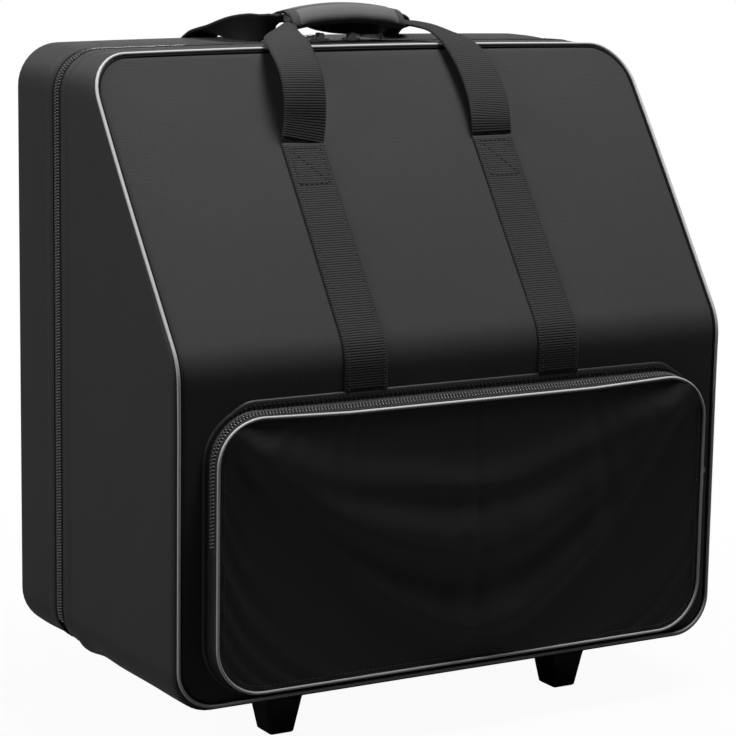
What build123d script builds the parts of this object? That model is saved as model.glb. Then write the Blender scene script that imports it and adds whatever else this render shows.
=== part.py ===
from build123d import *
import math
import os

# Accordion case: a deep wedge-fronted case half and a shallow rear pan, zipped together round the
# sides and top, hinged by fabric along the bottom, on two front feet and two rear wheels.
# Case frame used below: x centred across the case, y = 0 at the lower front face and growing towards
# the back, z = 0 at the underside of the shells. The last lines move it so that z = 0 is the floor.
# Millimetres throughout.

# --- Driving dimensions -------------------------------------------------------------------------
WIDTH = 540.0
HEIGHT = 524.0
DEPTH = 313.0
TOP_DEPTH = 144.0           # flat depth of the top, in front of the rear face
BEND_HEIGHT = 288.0         # where the squared lower front turns into the slanted one
BEND_R = 45.0
CORNER_R = 35.0             # four corners seen from the front
REAR_EDGE_R = 9.0
CROWN = 3.0                 # rise of the top's middle over its ends
WALL = 12.0                 # padded board wall
LINING = 3.0
FLOOR_GAP = 46.0            # shells stand this far off the floor

RUN_GAP = 0.3               # clearance between bodies that move past each other

REAR_PAN = 88.0             # depth of the case behind the main zip
SEAM_Y = DEPTH - REAR_PAN   # plane of the main zip
TAPE_W = 22.0               # zip tape of one half
TAPE_T = 1.5
COIL_W = 3.0                # coil of one half
COIL_UP = 1.2               # coil proud of the tape
SEAM_OFF = 0.7              # each coil half stops this far from the seam plane
SHELL_BACK_OFF = 8.0        # shell rim to seam plane
ZIP_FOOT = 14.0             # zip ends this far above the underside

PIPING_R = 2.0

PAD_T = 20.0                # foam block under the instrument
PAD_OFF = 12.0              # its distance from the lining
PAD_R = 18.0

POCKET_SIDE = 30.0          # case side to pocket side
POCKET_HALF = WIDTH / 2 - POCKET_SIDE
POCKET_LOW = 16.0
POCKET_DROP = 41.0          # bend to top of the pocket
POCKET_TOP = BEND_HEIGHT - POCKET_DROP
POCKET_R = 42.0
POCKET_REACH = 20.0         # panel stands this far out of the lower front
POCKET_RIM = 4.0            # panel turns back this far
POCKET_WELT = 5.0           # sewn edge round the root of the gusset
POCKET_SKIN = 3.0
FLAP_H = 109.0              # height of the part of the panel that folds down
POCKET_FOLD = POCKET_TOP - FLAP_H
POCKET_SEAM_Y = -POCKET_REACH / 2
ZIP_ROOT = 6.0              # pocket seam to the root of its zip tape

STRAP_X = 95.0              # webbing centre, each side
STRAP_W = 40.0
STRAP_T = 2.5
STRAP_DROP = 77.0           # top of the case to the end of the sewn straps
STRAP_TOP = HEIGHT - STRAP_DROP
STRAP_FOOT = POCKET_TOP + POCKET_WELT + 4.0
REAR_STRAP_L = 147.0        # sewn length at the back

GRIP_HALF = 56.0            # wrapped grip, half length
GRIP_Y = SEAM_Y - 7.0
SLEEVE_D = 20.0             # sleeve round the front run
FLAP_D = 22.0               # flap over the rear run
GRIP_OVER = 36.0            # grip stands this far over the case
GRIP_H = 17.0
GRIP_WALL = 2.5
GRIP_RISE = 6.0             # arch of the grip
PIVOT_LIFT = 2.4            # the loops leave the face this far in front of it

FOOT_IN = 125.4             # case side to foot middle
FOOT_X = WIDTH / 2 - FOOT_IN
FOOT_Y = 58.0
FOOT_FLANGE_T = 3.0
FOOT_WAIST = 15.0           # the foot's flare starts this far under the case
FOOT_WELL_R = 6.0
FOOT_SEAT = 12.0            # case to screw head seat
SCREW_R = 2.5

WHEEL_IN = 115.0            # case side to wheel middle
WHEEL_X = WIDTH / 2 - WHEEL_IN
WHEEL_R = 21.0
WHEEL_W = 22.0
WHEEL_BACK = 4.0            # axle this far in front of the rear face
WHEEL_Y = DEPTH - WHEEL_BACK
WHEEL_Z = WHEEL_R - FLOOR_GAP
HUB_R = 15.0
AXLE_R = 3.0
AXLE_FIT = 0.05
CHEEK_T = 3.0
CHEEK_GAP = 1.0

TUBE_X = 50.0               # telescopic tubes, each side
TUBE_W = 18.0
TUBE_D = 11.0
TUBE_WALL = 1.2
TUBE_FIT = 0.2              # play of the inner tube in the outer one
TUBE_Y = DEPTH + 1.0 + TUBE_D / 2
TUBE_LOW = 36.0
TUBE_DROP = 40.0            # top of the case to top of the outer tubes
TUBE_TOP = HEIGHT - TUBE_DROP
INNER_UP = 34.0             # inner tubes end this far over the outer ones' ends
HOUSING_HALF = 68.0
HOUSING_D = 14.0
BEZEL_H = 19.0
BASE_H = 28.0
BAR_HALF = 62.0             # trolley handle bar
BAR_H = 13.0
BAR_GAP = 14.0              # finger gap under the bar
BUTTON_HALF = 15.0
BUTTON_UP = 3.0             # how far the button stands proud, and its travel

REAR_REACH = WHEEL_Y + WHEEL_R - DEPTH
FRONT_REACH = POCKET_REACH + PIPING_R
FRONT_Y = FRONT_REACH - (DEPTH + REAR_REACH + FRONT_REACH) / 2

os.makedirs("parts", exist_ok=True)


def save(name, shape):
    """Write one node, moved from the case frame to the floor frame."""
    placed = Pos(0, FRONT_Y, FLOOR_GAP) * shape
    placed.label = name
    export_step(placed, f"parts/{name}.step")


def block(x0, x1, y0, y1, z0, z1):
    """Plain box between two corners."""
    return Pos((x0 + x1) / 2, (y0 + y1) / 2, (z0 + z1) / 2) * Box(x1 - x0, y1 - y0, z1 - z0)


def left_of(shape):
    """The same piece on the other side of the case."""
    return mirror(shape, about=Plane.YZ)


# --- Outlines of the case -----------------------------------------------------------------------
def end_outline(inset):
    """Case seen from the front: rounded rectangle with a crowned top, facing along +Y."""
    half = WIDTH / 2 - inset
    low = inset
    side_top = HEIGHT - CROWN - inset
    top = HEIGHT - inset
    edges = [
        Line((-half, low), (half, low)),
        Line((half, low), (half, side_top)),
        ThreePointArc((half, side_top), (0, top), (-half, side_top)),
        Line((-half, side_top), (-half, low)),
    ]
    face = make_face(Curve() + edges)
    return fillet(face.vertices(), CORNER_R - inset)


def tunnel(inset, y0, y1):
    """Outline of the case extruded from y0 to y1."""
    return extrude(Plane.XZ.offset(-y1) * end_outline(inset), amount=y1 - y0)


def side_outline(inset):
    """Case seen from the side, in (y, z): upright lower front, rounded bend, slant up to the top."""
    slope = math.atan2(DEPTH - TOP_DEPTH, HEIGHT - BEND_HEIGHT)
    reach = 60.0
    bend_z = BEND_HEIGHT - inset * math.tan(slope / 2)
    top_z = HEIGHT + reach
    top_y = inset + (top_z - bend_z) * math.tan(slope)
    points = [(inset, -reach), (DEPTH + reach, -reach), (DEPTH + reach, top_z), (top_y, top_z), (inset, bend_z)]
    face = make_face(Polyline(*points, close=True))
    bend = face.vertices().sort_by(Axis.X)[:2].sort_by(Axis.Y)[-1]
    return fillet(bend, BEND_R - inset)


def front_slab(inset, half_width=WIDTH):
    """Everything behind the front faces, as wide as asked."""
    profile = Plane.YZ.offset(-half_width) * side_outline(inset)
    return extrude(profile, amount=2 * half_width)


def case_body(inset, rear):
    """Case with all faces moved in by inset, closed at y = rear."""
    return tunnel(inset, -1, rear) & front_slab(inset)


def strap_band(x_mid, z0, z1, lift=0.0, thick=STRAP_T, width=STRAP_W):
    """Flat webbing lying on the front faces between two heights."""
    outer = front_slab(-(lift + thick), width / 2)
    inner = front_slab(-lift, width)
    return Pos(x_mid, 0, 0) * ((outer - inner) & block(-width, width, -60, DEPTH, z0, z1))


# --- Shared makers ------------------------------------------------------------------------------
def ring_band(y0, y1, outset, depth, z0, z1):
    """Strip round the case between two depths of its skin, kept between two heights."""
    ring = tunnel(-outset, y0, y1) - tunnel(depth, y0 - 1, y1 + 1)
    return ring & block(-WIDTH, WIDTH, y0, y1, z0, z1)


def zip_half(y_edge, y_seam, y_coil):
    """Tape let into the skin, with its half of the coil along the seam."""
    tape = ring_band(min(y_edge, y_seam), max(y_edge, y_seam), 0, TAPE_T, ZIP_FOOT, HEIGHT + 9)
    coil = ring_band(min(y_coil, y_seam), max(y_coil, y_seam), COIL_UP, TAPE_T, ZIP_FOOT, HEIGHT + 9)
    return tape + coil


def perimeter_cord(body):
    """Round piping along the outline of the front faces."""
    front_faces = [face for face in body.faces() if face.normal_at().Y < -0.1]
    edges = [edge for face in front_faces for edge in face.edges()]
    middles = [edge.position_at(0.5) for edge in edges]
    rim = []
    for number, edge in enumerate(edges):
        twins = [other for other in middles if (other - middles[number]).length < 0.01]
        if len(twins) == 1:
            rim.append(edge)
    path = Wire(rim)
    section = Plane(origin=path.position_at(0), z_dir=path.tangent_at(0)) * Circle(PIPING_R)
    return sweep(section, path=path)


def webbing(stations):
    """Strap bent through stations of (centre, width direction, run direction, width, thickness)."""
    sections = []
    for centre, across, along, width, thick in stations:
        sections.append(Plane(origin=centre, x_dir=across, z_dir=along) * Rectangle(width, thick))
    return loft(sections)


def screw(head_r, head_t, shank_r, shank):
    """Pan-head screw along -Z: head from z = 0 up, shank down, with a cross recess."""
    body = Cylinder(head_r, head_t, align=(Align.CENTER, Align.CENTER, Align.MIN))
    body = fillet(body.edges().group_by(Axis.Z)[-1], head_t * 0.45)
    body += Cylinder(shank_r, shank, align=(Align.CENTER, Align.CENTER, Align.MAX))
    slot = Pos(0, 0, head_t) * Box(head_r, head_r * 0.22, head_t)
    return body - slot - Rot(0, 0, 90) * slot


# --- Front case ---------------------------------------------------------------------------------
front_end = SEAM_Y - SHELL_BACK_OFF
front_solid = case_body(0, front_end)
front_piping = perimeter_cord(front_solid)
front_zip = zip_half(SEAM_Y - TAPE_W, SEAM_Y - SEAM_OFF, SEAM_Y - COIL_W)
hinge_front = ring_band(SEAM_Y - TAPE_W, SEAM_Y - SEAM_OFF, 0, TAPE_T, -9, ZIP_FOOT - RUN_GAP)
tape_seat = ring_band(SEAM_Y - TAPE_W, SEAM_Y + TAPE_W, 0, TAPE_T, -9, HEIGHT + 9)
front_bay = case_body(WALL, SEAM_Y)
front_lining = (front_bay - case_body(WALL + LINING, SEAM_Y + 1)) & block(-WIDTH, WIDTH, 0, front_end, 0, HEIGHT)

pad_half = WIDTH / 2 - CORNER_R - PAD_OFF
pad_low = WALL + LINING
base_pad = block(-pad_half, pad_half, pad_low + PAD_OFF, front_end - PAD_OFF, pad_low, pad_low + PAD_T)
base_pad = fillet(base_pad.edges().filter_by(Axis.Z), PAD_R)
base_pad = fillet(base_pad.edges().group_by(Axis.Z)[-1], 6)

strap_right = strap_band(STRAP_X, STRAP_FOOT, STRAP_TOP)


def foot():
    """Tall tapered moulding under a flange, with a well for the one screw up its middle."""
    sole = Plane.XY.offset(-FLOOR_GAP) * RectangleRounded(23, 26, 3)
    waist = Plane.XY.offset(-FOOT_WAIST) * RectangleRounded(36, 35, 5)
    root = Plane.XY.offset(-FOOT_FLANGE_T) * RectangleRounded(49, 44, 7)
    leg = loft([sole, waist], ruled=True) + loft([waist, root], ruled=True)
    leg = chamfer(leg.edges().group_by(Axis.Z)[0], 1)
    flange = extrude(Plane.XY.offset(-FOOT_FLANGE_T) * RectangleRounded(54, 50, 9), amount=FOOT_FLANGE_T)
    well = Pos(0, 0, -FLOOR_GAP) * Cylinder(FOOT_WELL_R, 2 * (FLOOR_GAP - FOOT_SEAT))
    return leg + flange - well - Cylinder(SCREW_R, 3 * FLOOR_GAP)


foot_right = Pos(FOOT_X, FOOT_Y, 0) * foot()
foot_screw = Pos(FOOT_X, FOOT_Y, -FOOT_SEAT) * Rot(180, 0, 0) * screw(5, 3, SCREW_R, FOOT_SEAT + WALL - 3)
foot_screws = foot_screw + left_of(foot_screw)
front_shell = front_solid - front_bay - front_piping - tape_seat - foot_screws


# --- Front pocket -------------------------------------------------------------------------------
def pocket_outline(grow):
    size = POCKET_TOP - POCKET_LOW + 2 * grow
    shape = RectangleRounded(2 * (POCKET_HALF + grow), size, POCKET_R + grow)
    return Pos(0, (POCKET_TOP + POCKET_LOW) / 2) * shape


def pocket_slab(grow, y0, y1):
    """Pocket outline, grown or shrunk, between two depths."""
    return extrude(Plane.XZ.offset(-y1) * pocket_outline(grow), amount=y1 - y0)


def pocket_ring(y0, y1, grow, depth):
    return pocket_slab(grow, y0, y1) - pocket_slab(-depth, y0 - 1, y1 + 1)


zip_root_y = POCKET_SEAM_Y + ZIP_ROOT
panel = pocket_slab(0, -POCKET_REACH, zip_root_y) - pocket_slab(-POCKET_SKIN, POCKET_SKIN - POCKET_REACH, 0)
panel = panel & block(-WIDTH, WIDTH, -POCKET_REACH, POCKET_RIM - POCKET_REACH, 0, HEIGHT)
rim_edge = panel.faces().sort_by(Axis.Y)[0].outer_wire()
rim_plane = Plane(origin=rim_edge.position_at(0), z_dir=rim_edge.tangent_at(0))
pocket_cord = sweep(rim_plane * Circle(PIPING_R), path=rim_edge)
panel = panel - pocket_cord

above_fold = block(-WIDTH, WIDTH, -60, 60, POCKET_FOLD + RUN_GAP, HEIGHT)
below_fold = block(-WIDTH, WIDTH, -60, 60, -60, POCKET_FOLD)
flap_panel = panel & above_fold
lower_panel = panel & below_fold
flap_piping = pocket_cord & above_fold
lower_piping = pocket_cord & below_fold

gusset = pocket_ring(POCKET_RIM - POCKET_REACH, 0, 0, POCKET_SKIN) & below_fold
gusset += pocket_ring(zip_root_y, 0, 0, POCKET_SKIN)
gusset += pocket_ring(-STRAP_T, 0, POCKET_WELT, POCKET_SKIN)


def pocket_zip(y_tape, y_coil, y_seam):
    tape = pocket_ring(min(y_tape, y_seam), max(y_tape, y_seam), 0, TAPE_T)
    coil = pocket_ring(min(y_coil, y_seam), max(y_coil, y_seam), COIL_UP, TAPE_T)
    return (tape + coil) & above_fold


pocket_zip_root = pocket_zip(zip_root_y, POCKET_SEAM_Y + COIL_W, POCKET_SEAM_Y + SEAM_OFF)
flap_zip = pocket_zip(POCKET_RIM - POCKET_REACH, POCKET_SEAM_Y - COIL_W, POCKET_SEAM_Y - SEAM_OFF)


# --- Carrying handle ----------------------------------------------------------------------------
RUN_W = SLEEVE_D - 2 * GRIP_WALL - RUN_GAP      # webbing folded narrow inside the sleeve
RUN_T = GRIP_H - 2 * GRIP_WALL - RUN_GAP
REAR_RUN_T = 2 * STRAP_T                        # rear loop, doubled, low under the flap
RUN_OFF = 3.3                                   # sleeve to rear run
grip_end_z = HEIGHT + GRIP_OVER - GRIP_H / 2 - GRIP_RISE
grip_path = ThreePointArc((-GRIP_HALF, 0, grip_end_z), (0, 0, grip_end_z + GRIP_RISE), (GRIP_HALF, 0, grip_end_z))


def along_grip(section):
    """Sweep a (depth, height) section along the arch of the grip."""
    start = Plane(origin=grip_path @ 0, x_dir=(0, 1, 0), z_dir=grip_path % 0)
    return Pos(0, GRIP_Y, 0) * sweep(start * section, path=grip_path)


sleeve = Pos(-SLEEVE_D / 2, 0) * Rectangle(SLEEVE_D, GRIP_H)
sleeve = fillet(sleeve.vertices().group_by(Axis.X)[0], 6)
sleeve -= Pos(-SLEEVE_D / 2, 0) * RectangleRounded(SLEEVE_D - 2 * GRIP_WALL, GRIP_H - 2 * GRIP_WALL, 3.5)
grip_sleeve = along_grip(sleeve)
flap_up = GRIP_H / 2 - GRIP_WALL / 2
grip_flap = along_grip(Pos(FLAP_D / 2, flap_up) * Rectangle(FLAP_D, GRIP_WALL))
front_run = along_grip(Pos(-SLEEVE_D / 2, 0) * RectangleRounded(RUN_W, RUN_T, 3.4))
rear_run_y = GRIP_Y + RUN_OFF + RUN_W / 2
rear_run_drop = GRIP_H / 2 - GRIP_WALL - REAR_RUN_T / 2
rear_run = along_grip(Pos(rear_run_y - GRIP_Y, -rear_run_drop) * RectangleRounded(RUN_W, REAR_RUN_T, 2))

FACE_SLOPE = (DEPTH - TOP_DEPTH) / (HEIGHT - BEND_HEIGHT)
leg_y = (STRAP_TOP - BEND_HEIGHT) * FACE_SLOPE
run_end = grip_path @ 1
run_in = -(grip_path % 1)
loop_foot = Pos(STRAP_X, leg_y - PIVOT_LIFT, STRAP_TOP + RUN_GAP + STRAP_T / 2)
loop_right = webbing([
    (loop_foot.position, (1, 0, 0), (0, 0.2, 1), STRAP_W, STRAP_T),
    ((STRAP_X, leg_y + 3, STRAP_TOP + 36), (1, 0, 0), (0, 0.1, 1), STRAP_W, STRAP_T),
    ((STRAP_X - 3, leg_y + 20, STRAP_TOP + 68), (1, 0.1, 0), (-0.1, 0.6, 0.8), 38, 3),
    ((STRAP_X - 12, leg_y + 62, STRAP_TOP + 92), (0.9, 0.45, 0), (-0.5, 0.8, 0.3), 30, 4),
    (run_end + Vector(0, GRIP_Y - SLEEVE_D / 2, 0), (0, 1, 0), run_in, RUN_W, RUN_T),
])
loop_right += loop_foot * Rot(0, 90, 0) * Cylinder(STRAP_T / 2, STRAP_W)


# --- Rear case ----------------------------------------------------------------------------------
rear_start = SEAM_Y + SHELL_BACK_OFF
rear_solid = tunnel(0, rear_start, DEPTH)
rear_solid = fillet(rear_solid.edges().group_by(Axis.Y)[-1], REAR_EDGE_R)
rear_bay = tunnel(WALL, rear_start - 1, DEPTH - WALL)
rear_lining = rear_bay - tunnel(WALL + LINING, 0, DEPTH - WALL - LINING)
rear_lining = rear_lining & block(-WIDTH, WIDTH, rear_start, DEPTH, 0, HEIGHT)
rear_zip = zip_half(SEAM_Y + TAPE_W, SEAM_Y + SEAM_OFF, SEAM_Y + COIL_W)
hinge_rear = ring_band(SEAM_Y + SEAM_OFF, SEAM_Y + TAPE_W, 0, TAPE_T, -9, ZIP_FOOT - RUN_GAP)
rear_strap_right = block(-STRAP_W / 2, STRAP_W / 2, DEPTH, DEPTH + STRAP_T, STRAP_TOP - REAR_STRAP_L, STRAP_TOP)
rear_strap_right = Pos(STRAP_X, 0, 0) * rear_strap_right
rear_loop_right = webbing([
    ((STRAP_X, DEPTH + STRAP_T / 2, STRAP_TOP), (1, 0, 0), (0, 0, 1), STRAP_W, STRAP_T),
    ((STRAP_X, DEPTH + 4, STRAP_TOP + 24), (1, 0, 0), (0, 0.12, 1), STRAP_W, STRAP_T),
    ((STRAP_X, DEPTH + 8, STRAP_TOP + 52), (1, 0, 0), (0, 0.05, 1), STRAP_W, STRAP_T),
    ((STRAP_X + 2, DEPTH, HEIGHT + 12), (1, 0, 0), (0, -0.7, 0.7), 38, 3),
    ((STRAP_X - 1, DEPTH - 44, HEIGHT + 24), (0.97, -0.2, 0), (-0.25, -1, 0.1), 32, 4),
    ((STRAP_X - 17, DEPTH - 73, HEIGHT + 24), (0.3, 1, 0), (-1, 0.3, 0), 22, 4),
    (run_end + Vector(0, rear_run_y, -rear_run_drop), (0, 1, 0), run_in, RUN_W, REAR_RUN_T),
])


# --- Telescopic handle --------------------------------------------------------------------------
def tube(width, depth, wall, z0, z1):
    section = RectangleRounded(width, depth, 3) - RectangleRounded(width - 2 * wall, depth - 2 * wall, 2)
    return extrude(Plane.XY.offset(z0) * section, amount=z1 - z0)


outer_tube = Pos(TUBE_X, TUBE_Y, 0) * tube(TUBE_W, TUBE_D, TUBE_WALL, TUBE_LOW, TUBE_TOP)
inner_w = TUBE_W - 2 * (TUBE_WALL + TUBE_FIT)
inner_d = TUBE_D - 2 * (TUBE_WALL + TUBE_FIT)
bar_low = TUBE_TOP + BAR_GAP
bar_top = bar_low + BAR_H
inner_tube = Pos(TUBE_X, TUBE_Y, 0) * tube(inner_w, inner_d, 1.0, TUBE_LOW + INNER_UP, bar_low + 2)
outer_tubes = outer_tube + left_of(outer_tube)
inner_tubes = inner_tube + left_of(inner_tube)


def housing(z0, z1):
    """Plastic block across both tubes, bored for them and rounded on its outer edges."""
    body = block(-HOUSING_HALF, HOUSING_HALF, DEPTH, DEPTH + HOUSING_D, z0, z1)
    body = fillet(body.edges().filter_by(Axis.Y), 6)
    body = fillet(body.edges().group_by(Axis.Y)[-1], 3)
    for side in (-1, 1):
        hole = RectangleRounded(TUBE_W, TUBE_D, 3)
        body -= Pos(side * TUBE_X, TUBE_Y, 0) * extrude(Plane.XY.offset(TUBE_LOW) * hole, amount=HEIGHT)
    return body


bezel_low = TUBE_TOP + 1 - BEZEL_H
base_low = TUBE_LOW + 12 - BASE_H
rear_screw = Pos(0, DEPTH + HOUSING_D, 0) * Rot(-90, 0, 0) * screw(4, 2.4, 2, HOUSING_D + WALL / 2)
screw_spots = [(side * 22, z) for side in (-1, 1) for z in (base_low + 8, bezel_low + BEZEL_H / 2)]
trolley_screws = Part() + [Pos(x, 0, z) * rear_screw for x, z in screw_spots]
bezel = housing(bezel_low, bezel_low + BEZEL_H) - trolley_screws
trolley_base = housing(base_low, base_low + BASE_H) - trolley_screws

BAR_OFF = 1.0               # handle bar to rear face
trolley_grip = block(-BAR_HALF, BAR_HALF, DEPTH + BAR_OFF, DEPTH + HOUSING_D, TUBE_TOP + 3, bar_top)
trolley_grip = fillet(trolley_grip.edges().filter_by(Axis.Y).group_by(Axis.Z)[-1], 8)
gap_half = TUBE_X - TUBE_W / 2 - 5
finger_gap = block(-gap_half, gap_half, DEPTH, DEPTH + 2 * HOUSING_D, TUBE_TOP, bar_low)
finger_gap = fillet(finger_gap.edges().filter_by(Axis.Y).group_by(Axis.Z)[-1], 5)
trolley_grip = trolley_grip - finger_gap
trolley_grip = fillet(trolley_grip.edges().group_by(Axis.Y)[-1], 2)
trolley_grip -= inner_tubes
button_low = bar_top - 8
button_d = 7.0
button_y = DEPTH + (BAR_OFF + HOUSING_D) / 2
button_well = block(-BUTTON_HALF - RUN_GAP, BUTTON_HALF + RUN_GAP, -button_d / 2 - RUN_GAP, button_d / 2 + RUN_GAP,
                    button_low - BUTTON_UP - RUN_GAP, HEIGHT + bar_top)
trolley_grip -= Pos(0, button_y, 0) * button_well
button = block(-BUTTON_HALF, BUTTON_HALF, -button_d / 2, button_d / 2, button_low, bar_top + BUTTON_UP)
button = fillet(button.edges().filter_by(Axis.Z), 2.5)
button = Pos(0, button_y, 0) * fillet(button.edges().group_by(Axis.Z)[-1], 1)


# --- Wheels -------------------------------------------------------------------------------------
def wheel_ring(outer_r, inner_r, width, edge):
    """Ring turned about X with rounded outer edges."""
    section = Pos(0, (outer_r + inner_r) / 2) * Rectangle(width, outer_r - inner_r)
    section = fillet(section.vertices().group_by(Axis.Y)[-1], edge)
    return revolve(Plane.XY * section, axis=Axis.X)


WEB_T = 5.0
HUB_RIM = 2.5
BOSS_R = 6.0
tyre = wheel_ring(WHEEL_R, HUB_R, WHEEL_W, 4)
for groove_x in (-4, 4):
    tyre -= Pos(groove_x, 0, 0) * wheel_ring(WHEEL_R + 1, WHEEL_R - 1, 1.4, 0.3)
hub_w = WHEEL_W - 2
hub = wheel_ring(HUB_R, AXLE_R + AXLE_FIT, hub_w, 0.5)
dish = wheel_ring(HUB_R - HUB_RIM, BOSS_R, hub_w, 0.5)
hub = hub - Pos((hub_w + WEB_T) / 2, 0, 0) * dish - Pos(-(hub_w + WEB_T) / 2, 0, 0) * dish
spoke_gap = Pos(0, 0, (HUB_R - HUB_RIM + BOSS_R) / 2) * Rot(0, 90, 0) * Cylinder(2.4, WHEEL_W)
for turn in range(5):
    hub -= Rot(72 * turn, 0, 0) * spoke_gap

plate_y0 = WHEEL_Y - 60
plate_y1 = WHEEL_Y - 5
cheek_x = WHEEL_W / 2 + CHEEK_GAP
boss = Pos(WHEEL_Y, WHEEL_Z) * Circle(8)
web_back = (WHEEL_Y + 7.4, WHEEL_Z + 3)
web_front = (WHEEL_Y - 5, WHEEL_Z - 6.2)
web = make_face(Polyline((plate_y0 + 20, 0), (plate_y1, 0), web_back, web_front, close=True))
cheek = extrude(Plane.YZ * (boss + web), amount=CHEEK_T)
bracket = block(-cheek_x - CHEEK_T, cheek_x + CHEEK_T, plate_y0, plate_y1, -CHEEK_T, 0)
bracket = fillet(bracket.edges().filter_by(Axis.Z).group_by(Axis.Y)[0], 8)
bracket = bracket + Pos(cheek_x, 0, 0) * cheek + Pos(-cheek_x - CHEEK_T, 0, 0) * cheek
bracket = bracket & block(-60, 60, 0, 2 * DEPTH, -FLOOR_GAP, 0)
axle = Pos(0, WHEEL_Y, WHEEL_Z) * Rot(0, 90, 0) * Cylinder(AXLE_R, 2 * (cheek_x + CHEEK_T) + 2)
axle_head = Pos(cheek_x + CHEEK_T + 1.5, WHEEL_Y, WHEEL_Z) * Rot(0, 90, 0) * Cylinder(5, 3)
axle_nut = Rot(0, 90, 0) * extrude(RegularPolygon(5, 6), amount=1.5, both=True)
axle_nut = Pos(-cheek_x - CHEEK_T - 1.5, WHEEL_Y, WHEEL_Z) * axle_nut
axle_right = Pos(WHEEL_X, 0, 0) * (axle + axle_head + axle_nut)
bracket_screw = Rot(180, 0, 0) * screw(4, 2, 2, 12)
screw_place = Pos(WHEEL_X, plate_y0 + 10, -CHEEK_T)
bracket_screws_right = screw_place * Pos(-9, 0, 0) * bracket_screw + screw_place * Pos(9, 0, 0) * bracket_screw
bracket_right = Pos(WHEEL_X, 0, 0) * bracket - axle_right - bracket_screws_right
bracket_screws = bracket_screws_right + left_of(bracket_screws_right)
tyre_right = Pos(WHEEL_X, WHEEL_Y, WHEEL_Z) * tyre
hub_right = Pos(WHEEL_X, WHEEL_Y, WHEEL_Z) * hub

rear_shell = rear_solid - rear_bay - tape_seat - trolley_screws - bracket_screws


# --- Zip sliders --------------------------------------------------------------------------------
SLIDER_L = 16.0
SLIDER_W = 12.0
SLIDER_OFF = 0.9            # plates stay this far off coil and tape
SLIDER_PLATE = 1.6
PIVOT_UP = 6.6              # pull pivot above the tape
PULL_L = 30.0


def slider():
    """Zip slider on a zip running along X, teeth line at y = 0, outer tape face at z = 0."""
    plate = RectangleRounded(SLIDER_L, SLIDER_W, 4)
    top_z = COIL_UP + SLIDER_OFF
    body = extrude(Plane.XY.offset(top_z) * plate, amount=SLIDER_PLATE)
    low_z = -TAPE_T - SLIDER_OFF - SLIDER_PLATE
    body += extrude(Plane.XY.offset(low_z) * plate, amount=SLIDER_PLATE)
    blade = 2 * (SEAM_OFF - RUN_GAP)
    body += block(2, 6, -blade / 2, blade / 2, low_z, top_z)
    for side in (-1, 1):
        lug = Pos(0, side * 2.9, 0) * block(-3, 3, -0.7, 0.7, top_z, PIVOT_UP + 2)
        body += fillet(lug.edges().filter_by(Axis.Y).group_by(Axis.Z)[-1], 2)
    return body + Pos(0, 0, PIVOT_UP) * Rot(90, 0, 0) * Cylinder(0.8, 6)


def pull():
    """Loop pull lying along -X from a pivot at the origin, its end a little lower."""
    eye = Rot(90, 0, 0) * (Cylinder(2, 3.6) - Cylinder(0.85, 9))
    neck = block(-8, -1.5, -1.8, 1.8, -1.2, 1.2)
    loop_out = Pos(-PULL_L / 2 - 5, 0) * RectangleRounded(PULL_L - 5, 10, 4.9)
    loop_in = Pos(-PULL_L / 2 - 5, 0) * RectangleRounded(PULL_L - 10, 5, 2.4)
    loop = extrude(loop_out - loop_in, amount=1.2, both=True)
    return Rot(0, -6, 0) * (eye + neck + loop)


SLIDER_X = 16.0
crown_r = ((WIDTH / 2) ** 2 + CROWN ** 2) / (2 * CROWN)
slider_z = HEIGHT - SLIDER_X ** 2 / (2 * crown_r)
left_seat = Pos(-SLIDER_X, SEAM_Y, slider_z)
slider_left = left_seat * slider()
pull_left = left_seat * Pos(0, 0, PIVOT_UP) * pull()

POCKET_SLIDER_UP = 18.0     # fold to pocket slider
pocket_seat = Pos(POCKET_HALF, POCKET_SEAM_Y, POCKET_FOLD + POCKET_SLIDER_UP) * Rot(0, 90, 0) * Rot(0, 0, 180)
pocket_slider = pocket_seat * slider()
pocket_pull = pocket_seat * Pos(0, 0, PIVOT_UP) * pull()


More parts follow.
